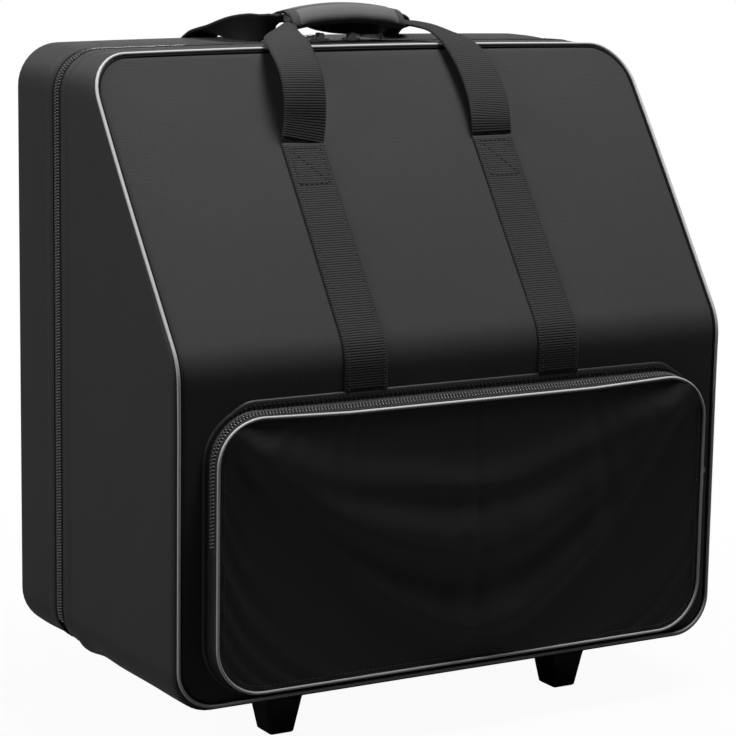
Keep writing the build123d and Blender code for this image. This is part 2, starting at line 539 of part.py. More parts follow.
# --- Write the nodes ----------------------------------------------------------------------------
nodes = {
    "front_shell": front_shell,
    "front_lining": front_lining,
    "front_piping": front_piping,
    "front_zip_tape": front_zip,
    "hinge_strip_front": hinge_front,
    "base_pad": base_pad,
    "front_strap_right": strap_right,
    "front_strap_left": left_of(strap_right),
    "foot_right": foot_right,
    "foot_left": left_of(foot_right),
    "foot_screws": foot_screws,
    "pocket_gusset": gusset,
    "pocket_lower_panel": lower_panel,
    "pocket_lower_piping": lower_piping,
    "pocket_zip_tape_fixed": pocket_zip_root,
    "pocket_flap_panel": flap_panel,
    "pocket_flap_piping": flap_piping,
    "pocket_flap_zip_tape": flap_zip,
    "handle_loop_right": loop_right,
    "handle_loop_left": left_of(loop_right),
    "handle_front_run": front_run,
    "handle_grip_sleeve": grip_sleeve,
    "handle_grip_flap": grip_flap,
    "rear_shell": rear_shell,
    "rear_lining": rear_lining,
    "rear_zip_tape": rear_zip,
    "hinge_strip_rear": hinge_rear,
    "rear_strap_right": rear_strap_right,
    "rear_strap_left": left_of(rear_strap_right),
    "rear_loop_right": rear_loop_right,
    "rear_loop_left": left_of(rear_loop_right),
    "rear_loop_run": rear_run,
    "trolley_outer_tubes": outer_tubes,
    "trolley_bezel": bezel,
    "trolley_base": trolley_base,
    "trolley_screws": trolley_screws,
    "wheel_bracket_right": bracket_right,
    "wheel_bracket_left": left_of(bracket_right),
    "wheel_axles": axle_right + left_of(axle_right),
    "wheel_bracket_screws": bracket_screws,
    "wheel_tyre_right": tyre_right,
    "wheel_tyre_left": left_of(tyre_right),
    "wheel_hub_right": hub_right,
    "wheel_hub_left": left_of(hub_right),
    "trolley_inner_tubes": inner_tubes,
    "trolley_grip": trolley_grip,
    "trolley_button": button,
    "main_slider_left": slider_left,
    "main_slider_right": left_of(slider_left),
    "main_pull_left": pull_left,
    "main_pull_right": left_of(pull_left),
    "pocket_slider": pocket_slider,
    "pocket_pull": pocket_pull,
}
for name, shape in nodes.items():
    save(name, shape)
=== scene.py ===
import bmesh
import bpy
import math
from mathutils import Matrix, Vector, noise


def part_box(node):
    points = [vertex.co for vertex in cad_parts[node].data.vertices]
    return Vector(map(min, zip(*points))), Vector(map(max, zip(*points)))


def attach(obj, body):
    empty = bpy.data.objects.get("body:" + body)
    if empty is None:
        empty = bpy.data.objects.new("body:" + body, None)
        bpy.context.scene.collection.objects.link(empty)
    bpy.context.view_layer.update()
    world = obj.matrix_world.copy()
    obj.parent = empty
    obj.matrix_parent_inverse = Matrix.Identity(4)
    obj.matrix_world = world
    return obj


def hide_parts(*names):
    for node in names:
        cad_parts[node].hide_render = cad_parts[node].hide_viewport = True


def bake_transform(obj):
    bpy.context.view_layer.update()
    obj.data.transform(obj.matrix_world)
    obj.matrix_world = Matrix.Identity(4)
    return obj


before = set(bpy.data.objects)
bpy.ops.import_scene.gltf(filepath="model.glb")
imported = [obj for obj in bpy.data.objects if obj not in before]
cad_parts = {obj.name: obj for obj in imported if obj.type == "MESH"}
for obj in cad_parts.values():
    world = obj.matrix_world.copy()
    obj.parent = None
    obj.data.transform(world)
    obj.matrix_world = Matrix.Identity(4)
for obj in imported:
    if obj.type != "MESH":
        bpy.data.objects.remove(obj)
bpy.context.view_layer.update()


# --- Sizes ---
# Sizes are in millimetres, in the case frame: x centred, y = 0 at the lower front face and growing
# backwards, z = 0 at the underside of the shells. place() turns them into the row frame in metres.
def corners(node):
    """Lowest and highest corner of a CAD node in the row frame, in millimetres."""
    return [[round(c * 1000, 1) for c in corner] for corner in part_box(node)]


front_low, front_high = corners("front_shell")
rear_low, rear_high = corners("rear_shell")
FRONT_Y, FLOOR_GAP = front_low[1], front_low[2]
HALF = front_high[0]
HEIGHT = front_high[2] - front_low[2]
DEPTH = rear_high[1] - front_low[1]
FRONT_RIM = front_high[1] - front_low[1]
REAR_RIM = rear_low[1] - front_low[1]
# Bend between the upright and the slanted front
BEND_Z, BEND_R = 288.0, 45.0
SLOPE = math.atan2(169.0, 236.0)
BEND_LOW = BEND_Z - BEND_R * math.tan(SLOPE / 2)
BEND_HIGH = BEND_LOW + BEND_R * math.sin(SLOPE)
CORNER_R, CROWN = 35.0, 3.0
SEAM_Y, ZIP_FOOT = 225.0, 14.0
# Depths under the outside: inner side of a cover, back and face of a lining
SKIN_IN, LINING_BACK, LINING_FACE = 11.8, 12.2, 15.0

# Front pocket, and the depths of its zip, panel, piping and deepest fold
pocket_low, pocket_high = corners("pocket_lower_panel")[0], corners("pocket_flap_panel")[1]
P_HALF, P_R = pocket_high[0], 42.0
P_LOW, P_TOP = pocket_low[2] - front_low[2], pocket_high[2] - front_low[2]
FOLD_Z = 138.0
P_SEAM_Y, P_PANEL_Y, P_PIPING_Y, P_DEEPEST_Y = -10.0, -18.9, -20.2, -28.0

# Straps, and the grip's middle, rise and half length
STRAP_X, STRAP_W = 95.0, 40
GRIP_Y, GRIP_Z, GRIP_RISE, GRIP_REACH = 218.0, 545.5, 6.0, 56.0


def place(p):
    return Vector((p[0], p[1] + FRONT_Y, p[2] + FLOOR_GAP)) * 0.001


def soft(x, y, z, size, seed=0.0):
    """Smooth noise in -1..1 with features about size millimetres across."""
    return noise.noise(Vector((x / size + seed, y / size, z / size)))


def clamp(value, low=0.0, high=1.0):
    return max(low, min(high, value))


def ease(t):
    """0 up to t = 0, 1 from t = 1, and smooth between."""
    t = clamp(t)
    return t * t * (3 - 2 * t)


# --- Materials ---
DYE_SPREAD = 0.25


def fill(tree, target, inputs):
    """Link each of a node's inputs to a socket or set it to a value."""
    for key, value in dict(inputs).items():
        if isinstance(value, bpy.types.NodeSocket):
            tree.links.new(value, target.inputs[key])
        else:
            target.inputs[key].default_value = value
    return target


def node(tree, kind, inputs=(), **settings):
    """New shader node with its settings and inputs."""
    made = tree.nodes.new("ShaderNode" + kind)
    for key, value in settings.items():
        setattr(made, key, value)
    return fill(tree, made, inputs)


def calc(tree, operation, *values):
    return node(tree, "Math", enumerate(values), operation=operation).outputs[0]


def weighted(tree, *terms):
    """Sum of (socket, weight) pairs."""
    total = None
    for socket, weight in terms:
        term = calc(tree, "MULTIPLY", socket, weight)
        total = term if total is None else calc(tree, "ADD", total, term)
    return total


def noise_fac(tree, scale, detail):
    coords = node(tree, "TexCoord").outputs["Object"]
    return node(tree, "TexNoise", {"Scale": scale, "Detail": detail, "Vector": coords}).outputs["Fac"]


def mixed(tree, factor, low, high):
    """Mix of two colours, each a socket or three numbers."""
    ends = [end if isinstance(end, bpy.types.NodeSocket) else (*end, 1) for end in (low, high)]
    inputs = {"Factor": factor, "A": ends[0], "B": ends[1]}
    return node(tree, "Mix", inputs, data_type="RGBA").outputs["Result"]


def new_material(name):
    mat = bpy.data.materials.new(name)
    mat.use_nodes = True
    return mat, mat.node_tree


def finish_shader(tree, height, relief, inputs):
    """Bump of relief millimetres from a height, and the shader's other inputs."""
    bump = node(tree, "Bump", {"Strength": 1.0, "Distance": relief * 0.001, "Height": height})
    fill(tree, tree.nodes["Principled BSDF"], {"Normal": bump.outputs["Normal"], **inputs})


def scaled(colour, share):
    return [c * share for c in colour]


def cloth(name, colour, pitch_u, pitch_v, roughness, relief, sheen, painted_top_light, rib=False):
    """Woven cloth: warp and weft in the piece's own (u, v), in metres, fibre noise and uneven dye.
    Painted light from above: it is made paler by that factor where it faces up."""
    mat, tree = new_material(name)
    uv = node(tree, "UVMap", uv_map="weave").outputs["UV"]
    split = node(tree, "SeparateXYZ", {"Vector": uv})
    u = calc(tree, "MULTIPLY", split.outputs["X"], 1000 * math.pi / pitch_u)
    v = calc(tree, "MULTIPLY", split.outputs["Y"], 1000 * math.pi / pitch_v)
    sin_u, sin_v = calc(tree, "SINE", u), calc(tree, "SINE", v)
    warp, weft = calc(tree, "ABSOLUTE", sin_u), calc(tree, "ABSOLUTE", sin_v)
    if rib:
        thread = weighted(tree, (weft, 1.0), (warp, 0.35))
    else:
        over = calc(tree, "GREATER_THAN", calc(tree, "MULTIPLY", sin_u, sin_v), 0.0)
        thread = weighted(tree, (warp, over), (weft, calc(tree, "SUBTRACT", 1.0, over)))
    height = calc(tree, "ADD", thread, calc(tree, "MULTIPLY", noise_fac(tree, 900.0, 2.0), 0.8))
    broad, fine = noise_fac(tree, 7.0, 4.0), noise_fac(tree, 260.0, 2.0)
    dye = weighted(tree, (broad, 0.45), (fine, 0.3), (thread, 0.25))
    low, high = scaled(colour, 1 - DYE_SPREAD), scaled(colour, 1 + DYE_SPREAD)
    # Painted light: faces that look up are painted paler, standing in for light falling from above.
    normal = node(tree, "NewGeometry").outputs["Normal"]
    turned = node(tree, "SeparateXYZ", {"Vector": normal}).outputs["Z"]
    facing_up = {"From Min": -0.15, "From Max": 0.75, "Value": turned}
    painted_light_share = node(tree, "MapRange", facing_up).outputs["Result"]
    plain_colour = mixed(tree, dye, low, high)
    painted_lit_colour = mixed(tree, dye, scaled(low, painted_top_light), scaled(high, painted_top_light))
    finish_shader(tree, height, relief, {
        "Base Color": mixed(tree, painted_light_share, plain_colour, painted_lit_colour), "Roughness": roughness, "Sheen Weight": sheen,
        "Sheen Roughness": 0.5, "Specular IOR Level": 0.28})
    return mat


def moulded(name, colour, roughness, grain=0.05, metallic=0.0, scale=700.0):
    """Moulded plastic, rubber or metal with fine grain and slightly uneven gloss."""
    mat, tree = new_material(name)
    fine, broad = noise_fac(tree, scale, 2.0), noise_fac(tree, 25.0, 3.0)
    gloss = calc(tree, "ADD", calc(tree, "MULTIPLY", broad, 0.2), roughness - 0.1)
    shade = mixed(tree, broad, scaled(colour, 0.75), scaled(colour, 1.25))
    finish_shader(tree, fine, grain, {"Base Color": shade, "Roughness": gloss, "Metallic": metallic})
    return mat


def grey(value, blue=None):
    return value, value, blue or value


# Colour, pitch of the threads across and along, roughness, relief, sheen and painted top light
NYLON = cloth("case_nylon", grey(0.0115, 0.0118), 1.1, 1.1, 0.8, 0.12, 0.06, 3.25)
POCKET_NYLON = cloth("pocket_nylon", grey(0.016), 0.9, 0.9, 0.42, 0.02, 0.02, 1.6)
WEBBING = cloth("webbing", grey(0.009), 1.6, 2.2, 0.75, 0.4, 0.06, 2.2, rib=True)
TAPE = cloth("zip_tape", grey(0.010), 1.2, 0.9, 0.8, 0.12, 0.06, 1.8)
PIPING = cloth("piping_cover", grey(0.22), 1.0, 1.0, 0.4, 0.06, 0.15, 2.4)
GRIP = cloth("grip_cloth", grey(0.045), 1.2, 1.2, 0.8, 0.15, 0.1, 2.6)
BINDING = cloth("grip_binding", grey(0.018), 1.0, 1.0, 0.75, 0.15, 0.1, 2.4)
PLUSH = cloth("plush", grey(0.07, 0.075), 1.5, 1.5, 0.95, 0.4, 0.8, 1.2)
# Near-black cloth. Along the front seam it paints the shade line beside the piping.
NEAR_BLACK = cloth("near_black_cloth", grey(0.0012), 1.0, 1.0, 0.9, 0.05, 0.0, 1.0)
THREAD = cloth("thread", grey(0.016), 0.6, 0.6, 0.6, 0.05, 0.1, 1.3)
# Colour, roughness, grain, metallic and scale of the grain
COIL = moulded("zip_coil", grey(0.075), 0.28)
PLASTIC = moulded("black_plastic", grey(0.0025), 0.5, 0.08)
BUTTON = moulded("button_plastic", grey(0.08), 0.4)
RUBBER = moulded("rubber", grey(0.012), 0.8, 0.1)
STEEL = moulded("steel", grey(0.45), 0.35, 0.02, 1.0, 300.0)
TUBE = moulded("tube_metal", grey(0.25, 0.26), 0.35, 0.02, 1.0, 300.0)
SLIDER = moulded("slider_metal", grey(0.30), 0.18, 0.02, 0.9, 400.0)
HUB = moulded("hub_plastic", grey(0.06), 0.5)


# --- Mesh helpers ---
def new_mesh(name, verts, faces):
    me = bpy.data.meshes.new(name)
    me.from_pydata(verts, [], faces)
    me.update()
    return me


def add(name, data):
    """New object in the scene."""
    obj = bpy.data.objects.new(name, data)
    bpy.context.scene.collection.objects.link(obj)
    return obj


def weave_by_side(me, layer):
    """Weave coordinates in metres, laid on from the side that each face looks to."""
    for poly in me.polygons:
        drop = max(range(3), key=lambda k: abs(poly.normal[k]))
        keep = [k for k in range(3) if k != drop]
        for loop in poly.loop_indices:
            co = me.vertices[me.loops[loop].vertex_index].co
            layer.data[loop].uv = (co[keep[0]], co[keep[1]])


def pocket_sag(p):
    """The pocket's top edge hangs down at the front, and its root is sewn a little higher."""
    x, y, z = p
    top = clamp((z - 200) / 45)
    side = 1 - 0.7 * clamp((abs(x) - 120) / 110)
    out = clamp((-y - 3) / 17)
    rise = 3.6 * clamp((z - 247.2) / 4.6) if y > -3.2 else 0.0
    return x, y, z - 5.5 * top * top * side * out + rise


def piece(name, verts, faces, mat, body, slot, replaces=(), uvs=None, fix_normals=True):
    """Object from vertices in the case frame."""
    if name.startswith("pocket"):
        verts = [pocket_sag(v) for v in verts]
    me = new_mesh(name, [place(v) for v in verts], faces)
    if fix_normals:
        bm = bmesh.new()
        bm.from_mesh(me)
        bmesh.ops.recalc_face_normals(bm, faces=bm.faces)
        bm.to_mesh(me)
        bm.free()
    layer = me.uv_layers.new(name="weave")
    if uvs is None:
        weave_by_side(me, layer)
    else:
        for loop in me.loops:
            layer.data[loop.index].uv = uvs[loop.vertex_index]
    for poly in me.polygons:
        poly.use_smooth = True
    me.materials.append(mat)
    obj = add(name, me)
    if body:
        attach(obj, body)
    if replaces:
        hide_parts(*replaces)
    return obj


def rows(half, z0, z1, radius, corner_steps, straight_steps):
    """(z, half width) of each row of a rounded rectangle, from the bottom edge up."""
    turns = [math.pi / 2 * k / corner_steps for k in range(corner_steps + 1)]
    low = [(z0 + radius * (1 - math.cos(a)), half - radius + radius * math.sin(a)) for a in turns]
    middle = [(z0 + radius + (z1 - z0 - 2 * radius) * k / straight_steps, half)
              for k in range(1, straight_steps)]
    high = [(z1 - (z - z0), w) for z, w in reversed(low)]
    return low + middle + high


def outline_grid(half, z0, z1, radius, nx, corner_steps, straight_steps, crown=0.0):
    """Rows of (x, z) that fill a rounded rectangle, edge vertices lying on its outline."""
    grid = []
    for z, w in rows(half, z0, z1, radius, corner_steps, straight_steps):
        line = []
        for i in range(nx + 1):
            x = w * math.sin(math.pi / 2 * (2 * i / nx - 1) * 0.9) / math.sin(math.pi / 2 * 0.9)
            lift = crown * (1 - (x / half) ** 2) * clamp((z - z0) / (z1 - z0)) ** 6
            line.append((x, z + lift))
        grid.append(line)
    return grid


def border(nj, ni):
    """Indices (row, column) round the edge of a grid, bottom left first, anticlockwise."""
    loop = [(0, i) for i in range(ni)]
    loop += [(j, ni - 1) for j in range(1, nj)]
    loop += [(nj - 1, i) for i in range(ni - 2, -1, -1)]
    loop += [(j, 0) for j in range(nj - 2, 0, -1)]
    return loop


def grid_edge(grid):
    return [grid[j][i] for j, i in border(len(grid), len(grid[0]))]


def tub(face, loops):
    """Vertices, faces and rim of an open tub: a face grid and loops going away from its edge."""
    nj, ni = len(face), len(face[0])
    verts = [p for line in face for p in line]
    faces = []
    for j in range(nj - 1):
        for i in range(ni - 1):
            faces.append((j * ni + i, j * ni + i + 1, (j + 1) * ni + i + 1, (j + 1) * ni + i))
    last = [j * ni + i for j, i in border(nj, ni)]
    for ring in loops:
        now = list(range(len(verts), len(verts) + len(ring)))
        verts += ring
        faces += joined(last, now)
        last = now
    return verts, faces, last


def joined(ring_a, ring_b):
    """Faces between two rings of vertex numbers."""
    next_a, next_b = ring_a[1:] + ring_a[:1], ring_b[1:] + ring_b[:1]
    return list(zip(ring_a, next_a, next_b, ring_b))


def closed_tub(outer, inner):
    """Join two tubs with the same number of points round the rim into one closed wall."""
    verts_a, faces_a, rim_a = outer
    verts_b, faces_b, rim_b = inner
    shift = len(verts_a)
    faces = faces_a + [tuple(shift + k for k in reversed(f)) for f in faces_b]
    return verts_a + verts_b, faces + joined(rim_a, [shift + k for k in rim_b])


def tube_faces(rings, around, first=0, closed=False):
    """Faces of a tube of rings from vertex number first on, its ends capped unless it is closed."""
    starts = [first + s * around for s in range(rings)]
    faces = []
    for a, b in zip(starts, starts[1:] + starts[:1] if closed else starts[1:]):
        faces += joined(list(range(a, a + around)), list(range(b, b + around)))
    if not closed:
        faces.append(tuple(reversed(range(first, first + around))))
        faces.append(tuple(range(starts[-1], starts[-1] + around)))
    return faces


def outward(edge, k):
    """Outward direction of an anticlockwise outline at its k-th point."""
    a, b = edge[k - 1], edge[(k + 1) % len(edge)]
    return Vector((b[1] - a[1], a[0] - b[0])).normalized()


def moved_out(edge, lift, y):
    """The outline's points at depth y, moved outwards by lift."""
    return [(x + outward(edge, k).x * lift, y, z + outward(edge, k).y * lift)
            for k, (x, z) in enumerate(edge)]


def case_outline(inset):
    """Grid and edge of the case seen from the front, moved in by inset."""
    grid = outline_grid(HALF - inset, inset, HEIGHT - CROWN - inset, CORNER_R - inset, nx=96,
                        corner_steps=10, straight_steps=90, crown=CROWN)
    return grid, grid_edge(grid)


def face_angle(z):
    """Lean of the front face at a height, from upright to the full slope."""
    return math.asin(clamp((z - BEND_LOW) / BEND_R, 0.0, math.sin(SLOPE)))


def front_y(z):
    """Depth of the front face at a height: upright, rounded bend, slant."""
    if z >= BEND_HIGH:
        return (z - BEND_Z) * math.tan(SLOPE)
    return BEND_R * (1 - math.cos(face_angle(z)))


def edge_fade(x, z, reach=60.0):
    """0 at the outline of the case face, 1 well inside it."""
    return ease(min(HALF - abs(x), z, HEIGHT - z) / reach)


def front_push(x, z):
    """How far the padding swells the slanted front."""
    waves = 1.6 + 1.2 * soft(x, 0, z, 150, 3.1) + 0.5 * soft(x, 0, z, 45, 8.0)
    return 0.55 * edge_fade(x, z) * clamp((z - 240) / 30) * waves


def rear_push(x, z):
    """How far the padding swells the rear face."""
    return 0.4 * edge_fade(x, z, 90) * (1.0 + 0.8 * soft(x, 9, z, 140, 2.0))


# --- Front case ---
QUILT = 2.0
# Hems as (depth from the rim, height over the outline)
FRONT_HEM = [(-12, 0.7), (0.5, 0.9), (1.0, 0.5), (0.5, 0.1), (-13.9, 0.05), (-13.9, -1.6), (0, -1.6)]
REAR_HEM = [(12, 0.7), (0.4, 0.8), (0, 0.45), (0.4, 0.1), (13.9, 0.05), (13.9, -1.6), (0, -1.6)]
HEM_START, SIDE_STEPS = 14, 26


def edge_in(z):
    """How far inside the case's sides the front seam runs: hardly on top, further lower down."""
    return 4.8 - 4.2 * ease((z - 220) / 250)


def face_point(x, z, extra=0.0):
    """Outline point of the case moved in to the front seam, or a little further."""
    inset = edge_in(z) + extra
    low = (4.0 + extra) * max(0.0, 1 - z / 60)
    return x * (HALF - inset) / HALF, z + low - extra * max(0.0, (z - 460) / 64)


def off_face(x, z, lift):
    """Point that stands off the front face by lift."""
    a = SLOPE if z > BEND_Z else 0.0
    return x, front_y(z) - lift * math.cos(a), z + lift * math.sin(a)


def front_outside():
    """Swollen face and sides of the front cover, rounded at the seam between them, with a hem."""
    grid, edge = case_outline(0)
    face = []
    for line in grid:
        out = []
        for x, z in line:
            near = min(HALF - abs(x), z, HEIGHT - z)
            valley = 1.1 * math.exp(-((near - 2.6) / 1.6) ** 2)
            out.append(off_face(*face_point(x, z), front_push(x, z) - valley))
        face.append(out)
    loops = []
    for s in range(1, 5):
        a = math.pi / 2 * s / 4
        ring = []
        for x1, z1 in edge:
            x0, z0 = face_point(x1, z1)
            x, z = x0 + (x1 - x0) * math.sin(a), z0 + (z1 - z0) * math.sin(a)
            ring.append((x, front_y(z) + edge_in(z1) * (1 - math.cos(a)), z))
        loops.append(ring)
    for s in range(1, SIDE_STEPS + 1):
        t = s / SIDE_STEPS
        ring = []
        for k, (x, z) in enumerate(edge):
            front = front_y(z) + edge_in(z)
            y = front + (FRONT_RIM - HEM_START - front) * t
            n = outward(edge, k)
            waves = 0.9 + 1.3 * soft(x, y, z, 120, 5.0) + 0.4 * soft(x, y, z, 38, 1.0)
            corner = ((y - 188) / 16) ** 2 + ((abs(x) - 262) / 14) ** 2 + ((z - 6) / 14) ** 2
            push = math.sin(math.pi * t) ** 0.8 * waves + 4.5 * math.exp(-corner)
            ring.append((x + n.x * push, y, z + n.y * push))
        loops.append(ring)
    return tub(face, loops + [moved_out(edge, lift, FRONT_RIM + y) for y, lift in FRONT_HEM])


def quilt(x, y):
    """Padded diamonds, 60 mm across: 0 on their seams, 1 at their middles."""
    a = abs(math.sin(math.pi * (x + y) / 60))
    b = abs(math.sin(math.pi * (x - y) / 60))
    return (a * b) ** 0.5


def front_wall(inset, rim, steps, quilted=False):
    """Face grid, rings and edge of a wall moved in from the front case's outside, plain or quilted."""
    grid, edge = case_outline(inset)
    drop = inset * math.tan(SLOPE / 2)
    relief = QUILT if quilted else 0.0
    face = [[(x, inset + front_y(z + drop) + relief * (quilt(x, z) - 1) * edge_fade(x, z, 40), z)
             for x, z in line] for line in grid]
    loops = []
    for s in range(1, steps + 1):
        t = s / steps
        ring = []
        for k, (x, z) in enumerate(edge):
            front = inset + front_y(z + drop)
            y = front + (rim - front) * t
            n = outward(edge, k)
            seam = 1 - quilt(x if abs(n.y) > abs(n.x) else z, y)
            push = relief * seam * math.sin(math.pi * t) ** 0.3
            ring.append((x + n.x * push, y, z + n.y * push))
        loops.append(ring)
    return face, loops, edge


def front_cover():
    face, loops, edge = front_wall(SKIN_IN, FRONT_RIM - HEM_START, SIDE_STEPS)
    loops += [moved_out(edge, 0.0, FRONT_RIM - 12 + 1.2 * k) for k in range(11)]
    return closed_tub(front_outside(), tub(face, loops))


def front_lining():
    rim = FRONT_RIM - 0.5
    back, inner = front_wall(LINING_BACK, rim, 40), front_wall(LINING_FACE, rim, 40, quilted=True)
    return closed_tub(tub(*back[:2]), tub(*inner[:2]))


piece("front_case_cover", *front_cover(), NYLON, "front_case", "shell_cloth", ["front_shell"])
piece("front_lining_plush", *front_lining(), PLUSH, "front_case", "plush_lining", ["front_lining"])


# --- Rear case ---
def rear_wall(inset, y_rim, quilted=False):
    """Wall of the rear pan moved in by inset. The outermost is swollen, rounder and hemmed."""
    swell, radius = (0.0, 1.0) if inset else (1.0, 9.0)
    relief = QUILT if quilted else 0.0
    y_back = DEPTH - inset
    face = [[(x, y_back + swell * rear_push(x, z) - relief * (1 - quilt(x, z)) * edge_fade(x, z, 40), z)
             for x, z in line] for line in case_outline(inset + radius)[0]]
    loops = []
    for s in range(1, 7):
        a = math.pi / 2 * s / 6
        ring = case_outline(inset + radius * (1 - math.sin(a)) - 1.6 * swell * math.sin(a))[1]
        loops.append([(x, y_back - radius * (1 - math.cos(a)), z) for x, z in ring])
    edge = case_outline(inset)[1]
    y_from, y_to = y_back - radius, y_rim + HEM_START
    for s in range(1, 13):
        t = s / 12
        y = y_from + (y_to - y_from) * t
        ring = []
        for k, (x, z) in enumerate(edge):
            n = outward(edge, k)
            push = math.sin(math.pi * t) * 0.6 * (0.6 + soft(x, y, z, 110, 6.0))
            push = swell * (push + 1.6 * math.cos(math.pi / 2 * t) ** 0.7)
            ring.append((x + n.x * push, y, z + n.y * push))
        loops.append(ring)
    hem = [(12 - 2 * k, 0.0) for k in range(7)] if inset else REAR_HEM
    return tub(face, loops + [moved_out(edge, lift, y_rim + y) for y, lift in hem])


def rear_lining():
    rim = REAR_RIM + 0.5
    return closed_tub(rear_wall(LINING_BACK, rim), rear_wall(LINING_FACE, rim, quilted=True))


rear_cover = closed_tub(rear_wall(0, REAR_RIM), rear_wall(SKIN_IN, REAR_RIM))
piece("rear_case_cover", *rear_cover, NYLON, "rear_case", "shell_cloth", ["rear_shell"])
piece("rear_lining_plush", *rear_lining(), PLUSH, "rear_case", "plush_lining", ["rear_lining"])


# --- Tubes, stitches and zips along lines ---
def smooth_path(points, step):
    """Catmull-Rom curve through tuples of any length, sampled about every step millimetres."""
    out = []
    last = len(points) - 1
    for k in range(last):
        p0, p1, p2, p3 = points[max(k - 1, 0)], points[k], points[k + 1], points[min(k + 2, last)]
        span = max(1, int(round((Vector(p2[:3]) - Vector(p1[:3])).length / step)))
        for s in range(span):
            t = s / span
            out.append(tuple(0.5 * (2 * b + (c - a) * t + (2 * a - 5 * b + 4 * c - d) * t * t
                             + (3 * b - a - 3 * c + d) * t ** 3) for a, b, c, d in zip(p0, p1, p2, p3)))
    return out + [tuple(points[-1])]


def sweep(name, stations, section, mat, body, slot, replaces=(), closed=False):
    """Sweep a closed section of (across, out) offsets; stations are (centre, across, out)."""
    verts, uvs = [], []
    around = [0.0]
    for a, b in zip(section, section[1:]):
        around.append(around[-1] + math.dist(a, b))
    run = 0.0
    before = stations[0][0]
    for centre, across, out in stations:
        run += (centre - before).length
        before = centre
        for girth, (a, o) in zip(around, section):
            verts.append(tuple(centre + across * a + out * o))
            uvs.append((girth * 0.001, run * 0.001))
    faces = tube_faces(len(stations), len(section), closed=closed)
    return piece(name, verts, faces, mat, body, slot, replaces, uvs)


def tube_on(name, points, radius, mat, body, slot, replaces=(), closed=True):
    """Round tube along points."""
    sides = 10
    turns = [2 * math.pi * k / sides for k in range(sides)]
    stations = []
    n = len(points)
    for k in range(n):
        a = Vector(points[k - 1] if k > 0 or closed else points[0])
        b = Vector(points[(k + 1) % n] if k < n - 1 or closed else points[-1])
        d = (b - a).normalized()
        ref = Vector((0, 1, 0)) if abs(d.y) < 0.9 else Vector((1, 0, 0))
        across = d.cross(ref).normalized()
        stations.append((Vector(points[k]), across, across.cross(d).normalized()))
    section = [(radius * math.cos(a), radius * math.sin(a)) for a in turns]
    return sweep(name, stations, section, mat, body, slot, replaces, closed)


def point_on(points, total, d):
    """Point at distance d along points, whose running lengths are total."""
    k = 0
    while k < len(total) - 2 and total[k + 1] < d:
        k += 1
    t = clamp((d - total[k]) / max(1e-6, total[k + 1] - total[k]))
    return Vector(points[k]).lerp(Vector(points[k + 1]), t)


def stitches(name, lines, mat, body, slot, length=3.0, gap=1.4, radius=0.35):
    """Rows of short thread stitches along point lists, half sunk in the cloth."""
    verts, faces = [], []
    for points in lines:
        total = [0.0]
        for a, b in zip(points, points[1:]):
            total.append(total[-1] + (Vector(b) - Vector(a)).length)
        run = 0.0
        while run + length < total[-1]:
            a, b = point_on(points, total, run), point_on(points, total, run + length)
            d = (b - a).normalized()
            side = d.cross(Vector((0.31, 0.54, 0.78))).normalized()
            up = d.cross(side)
            faces += tube_faces(4, 4, len(verts))
            for where, share in ((0.0, 0.35), (0.25, 1.0), (0.75, 1.0), (1.0, 0.35)):
                for turn in (math.pi / 2 * k for k in range(4)):
                    off = (side * math.cos(turn) + up * math.sin(turn)) * radius * share
                    verts.append(tuple(a.lerp(b, where) + off))
            run += length + gap
    return piece(name, verts, faces, mat, body, slot, fix_normals=False)


def seam_path(inset, lift):
    """Front edge of the case, moved in over the face by inset and out of it by lift."""
    return [off_face(*face_point(x, z, inset), lift) for x, z in case_outline(0)[1]]


def below(line, z):
    """The part of a closed line below a height, as one open run."""
    low = [p for p in line if p[1] < z]
    gap = max(range(1, len(low)), key=lambda k: math.dist(low[k][:2], low[k - 1][:2]))
    return low[gap:] + low[:gap]


def above(line, z):
    return [p for p in line if p[1] > z]


def even_line(line, step, start=0.0):
    """Points every step millimetres along a line of (x, z, out x, out z)."""
    out = []
    due = start
    run = 0.0
    for a, b in zip(line, line[1:]):
        span = math.dist(a[:2], b[:2])
        while due <= run + span:
            t = (due - run) / span
            out.append(tuple(p + (q - p) * t for p, q in zip(a, b)))
            due += step
        run += span
    return out


def line_stations(line):
    """Sweep stations whose section is written as (depth y, height over the skin)."""
    back = Vector((0, 1, 0))
    return [(Vector((x, 0, z)), back, Vector((nx, 0, nz)).normalized()) for x, z, nx, nz in line]


def flat_section(points_y, high, low):
    return [(y, high) for y in points_y] + [(y, low) for y in reversed(points_y)]


# Zip tooth as (share of its length, half width, bottom, top)
TOOTH = ((0, 0.5, -0.2, 0.4), (0.3, 0.8, -0.2, 1.2), (0.85, 0.85, -0.2, 1.3), (1, 0.6, 0.0, 0.8))


def coil(name, line, y_back, y_tip, body, phase, pitch=2.6):
    """Row of zip teeth, each a rounded bar from the tape to the seam."""
    verts, faces = [], []
    for x, z, nx, nz in even_line(line, pitch, phase * pitch):
        n = Vector((nx, 0, nz)).normalized()
        across = Vector((0, 1, 0)).cross(n)
        faces += tube_faces(4, 4, len(verts))
        for share, half, low, high in TOOTH:
            base = Vector((x, y_back + (y_tip - y_back) * share, z))
            for a, o in ((-half, low), (half, low), (half * 0.7, high), (-half * 0.7, high)):
                verts.append(tuple(base + across * a + n * o))
    return piece(name, verts, faces, COIL, body, "zip_cloth")


# --- Front seam, main zip and hinge strip ---
case_edge = case_outline(0)[1]
tube_on("front_piping_cover", seam_path(0.0, 0.5), 1.45, PIPING, "front_case", "piping", ["front_piping"])
# Near-black tube just inside the front piping: painted shade, standing in for the shadow line along the
# piping's inner side.
tube_on("front_seam_welt", seam_path(2.3, -0.1), 1.0, NEAR_BLACK, "front_case", "piping")

